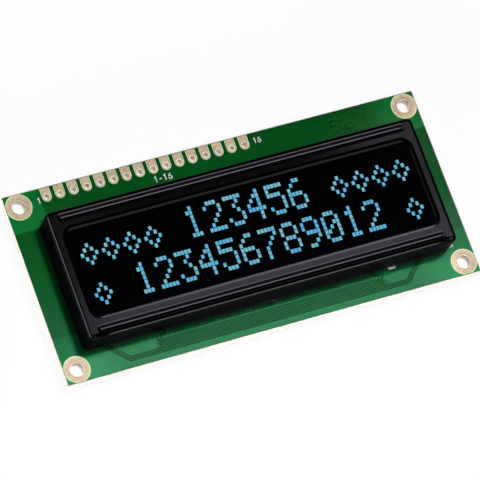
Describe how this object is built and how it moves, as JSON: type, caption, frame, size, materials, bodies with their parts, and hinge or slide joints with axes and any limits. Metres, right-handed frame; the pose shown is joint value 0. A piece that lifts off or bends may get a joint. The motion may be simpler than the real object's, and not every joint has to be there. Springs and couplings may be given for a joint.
{
  "type": "character oled module",
  "caption": "Character OLED display module: green circuit board with corner screw holes and a header row, carrying a dark dot-matrix display under a black folded sheet bezel.",
  "frame": {"origin": "centre of the four screw holes, on the back face of the circuit board", "axes": "+X along the board to the right as the text is read, +Y up towards the header row, +Z out of the display"},
  "size_m": [0.08, 0.036, 0.0089],
  "materials": {
    "board_laminate": "semi-gloss green mask on glass-fibre laminate",
    "plated_land": "pale plated copper",
    "tinned_land": "bright solder tin",
    "bezel_paint": "satin black paint on folded sheet steel",
    "display_film": "glossy dark polariser film",
    "display_glass": "clear sheet glass",
    "seal_glue": "cured glue",
    "drying_sheet": "white drying sheet",
    "foam": "soft closed-cell foam",
    "flex_film": "amber polyimide film",
    "epoxy": "black cast epoxy",
    "ferrite": "dark grey sintered ferrite",
    "moulding": "black moulding compound",
    "capacitor_body": "tan ceramic with tinned ends",
    "resistor_body": "dark glazed ceramic with tinned ends"
  },
  "bodies": {
    "root": {"circuit_board": "board_laminate", "mounting_lands": "plated_land", "header_lands": "plated_land", "tab_lands": "tinned_land", "ground_lands": "tinned_land", "bezel": "bezel_paint", "polariser": "display_film", "front_glass": "display_glass", "edge_seal": "seal_glue", "sealing_glass": "display_glass", "desiccant_film": "drying_sheet", "foam_cushion": "foam", "flex_connector": "flex_film", "controller_cap": "epoxy", "driver_cap": "epoxy", "boost_inductor": "ferrite", "boost_regulator": "moulding", "rectifier_diode": "moulding", "chip_lands": "tinned_land", "capacitor_1": "capacitor_body", "capacitor_2": "capacitor_body", "capacitor_3": "capacitor_body", "capacitor_4": "capacitor_body", "capacitor_5": "capacitor_body", "capacitor_6": "capacitor_body", "resistor_1": "resistor_body", "resistor_2": "resistor_body", "resistor_3": "resistor_body", "resistor_4": "resistor_body", "resistor_5": "resistor_body", "resistor_6": "resistor_body"}
  },
  "joints": []
}
